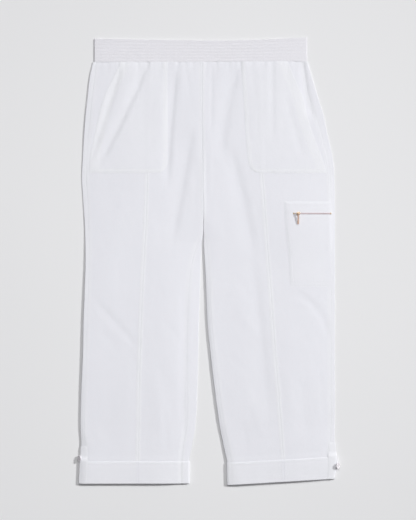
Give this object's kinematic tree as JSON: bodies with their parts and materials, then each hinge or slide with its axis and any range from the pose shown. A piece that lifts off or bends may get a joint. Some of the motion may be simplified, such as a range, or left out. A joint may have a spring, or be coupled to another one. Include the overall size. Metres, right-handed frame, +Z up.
{
  "type": "capri pants",
  "caption": "Cropped pull-on cotton trousers laid flat, with an elastic waistband, slant patch pockets, a zip thigh pocket and turned-up cuffs held by buttoned tabs.",
  "frame": {"origin": "middle of the garment's outline, on the surface that it lies on", "axes": "+X to the wearer's left, +Y towards the waistband, +Z up from the surface"},
  "size_m": [0.5404, 0.93, 0.0136],
  "materials": {
    "cotton": "matt, fine plain weave with a soft crease",
    "ribbed_elastic": "matt, gathered over rows of elastic",
    "zip_tape": "matt woven tape",
    "rose_gold": "satin, rose-gold plated",
    "button_shell": "polished, off-white"
  },
  "bodies": {
    "garment": {"waistband_front": "ribbed_elastic", "waistband_back": "ribbed_elastic", "right_front_centre": "cotton", "right_front_side": "cotton", "right_back": "cotton", "right_hip_pocket": "cotton", "right_cuff_tab": "cotton", "right_tab_button": "button_shell", "left_front_centre": "cotton", "left_front_side": "cotton", "left_back": "cotton", "left_hip_pocket": "cotton", "left_cuff_tab": "cotton", "left_tab_button": "button_shell", "left_zip_pocket": "cotton", "zip_tape": "zip_tape", "zip_chain": "rose_gold", "zip_slider": "rose_gold"},
    "pull_tab": {"zip_pull_tab": "rose_gold"}
  },
  "joints": [
    {"name": "pull_tab_hinge", "type": "hinge", "parent": "garment", "child": "pull_tab", "pos_m": [0.18795, 0.10017, 0.0118], "axis": [-1, 0, 0], "range_deg": [0, 180]}
  ]
}
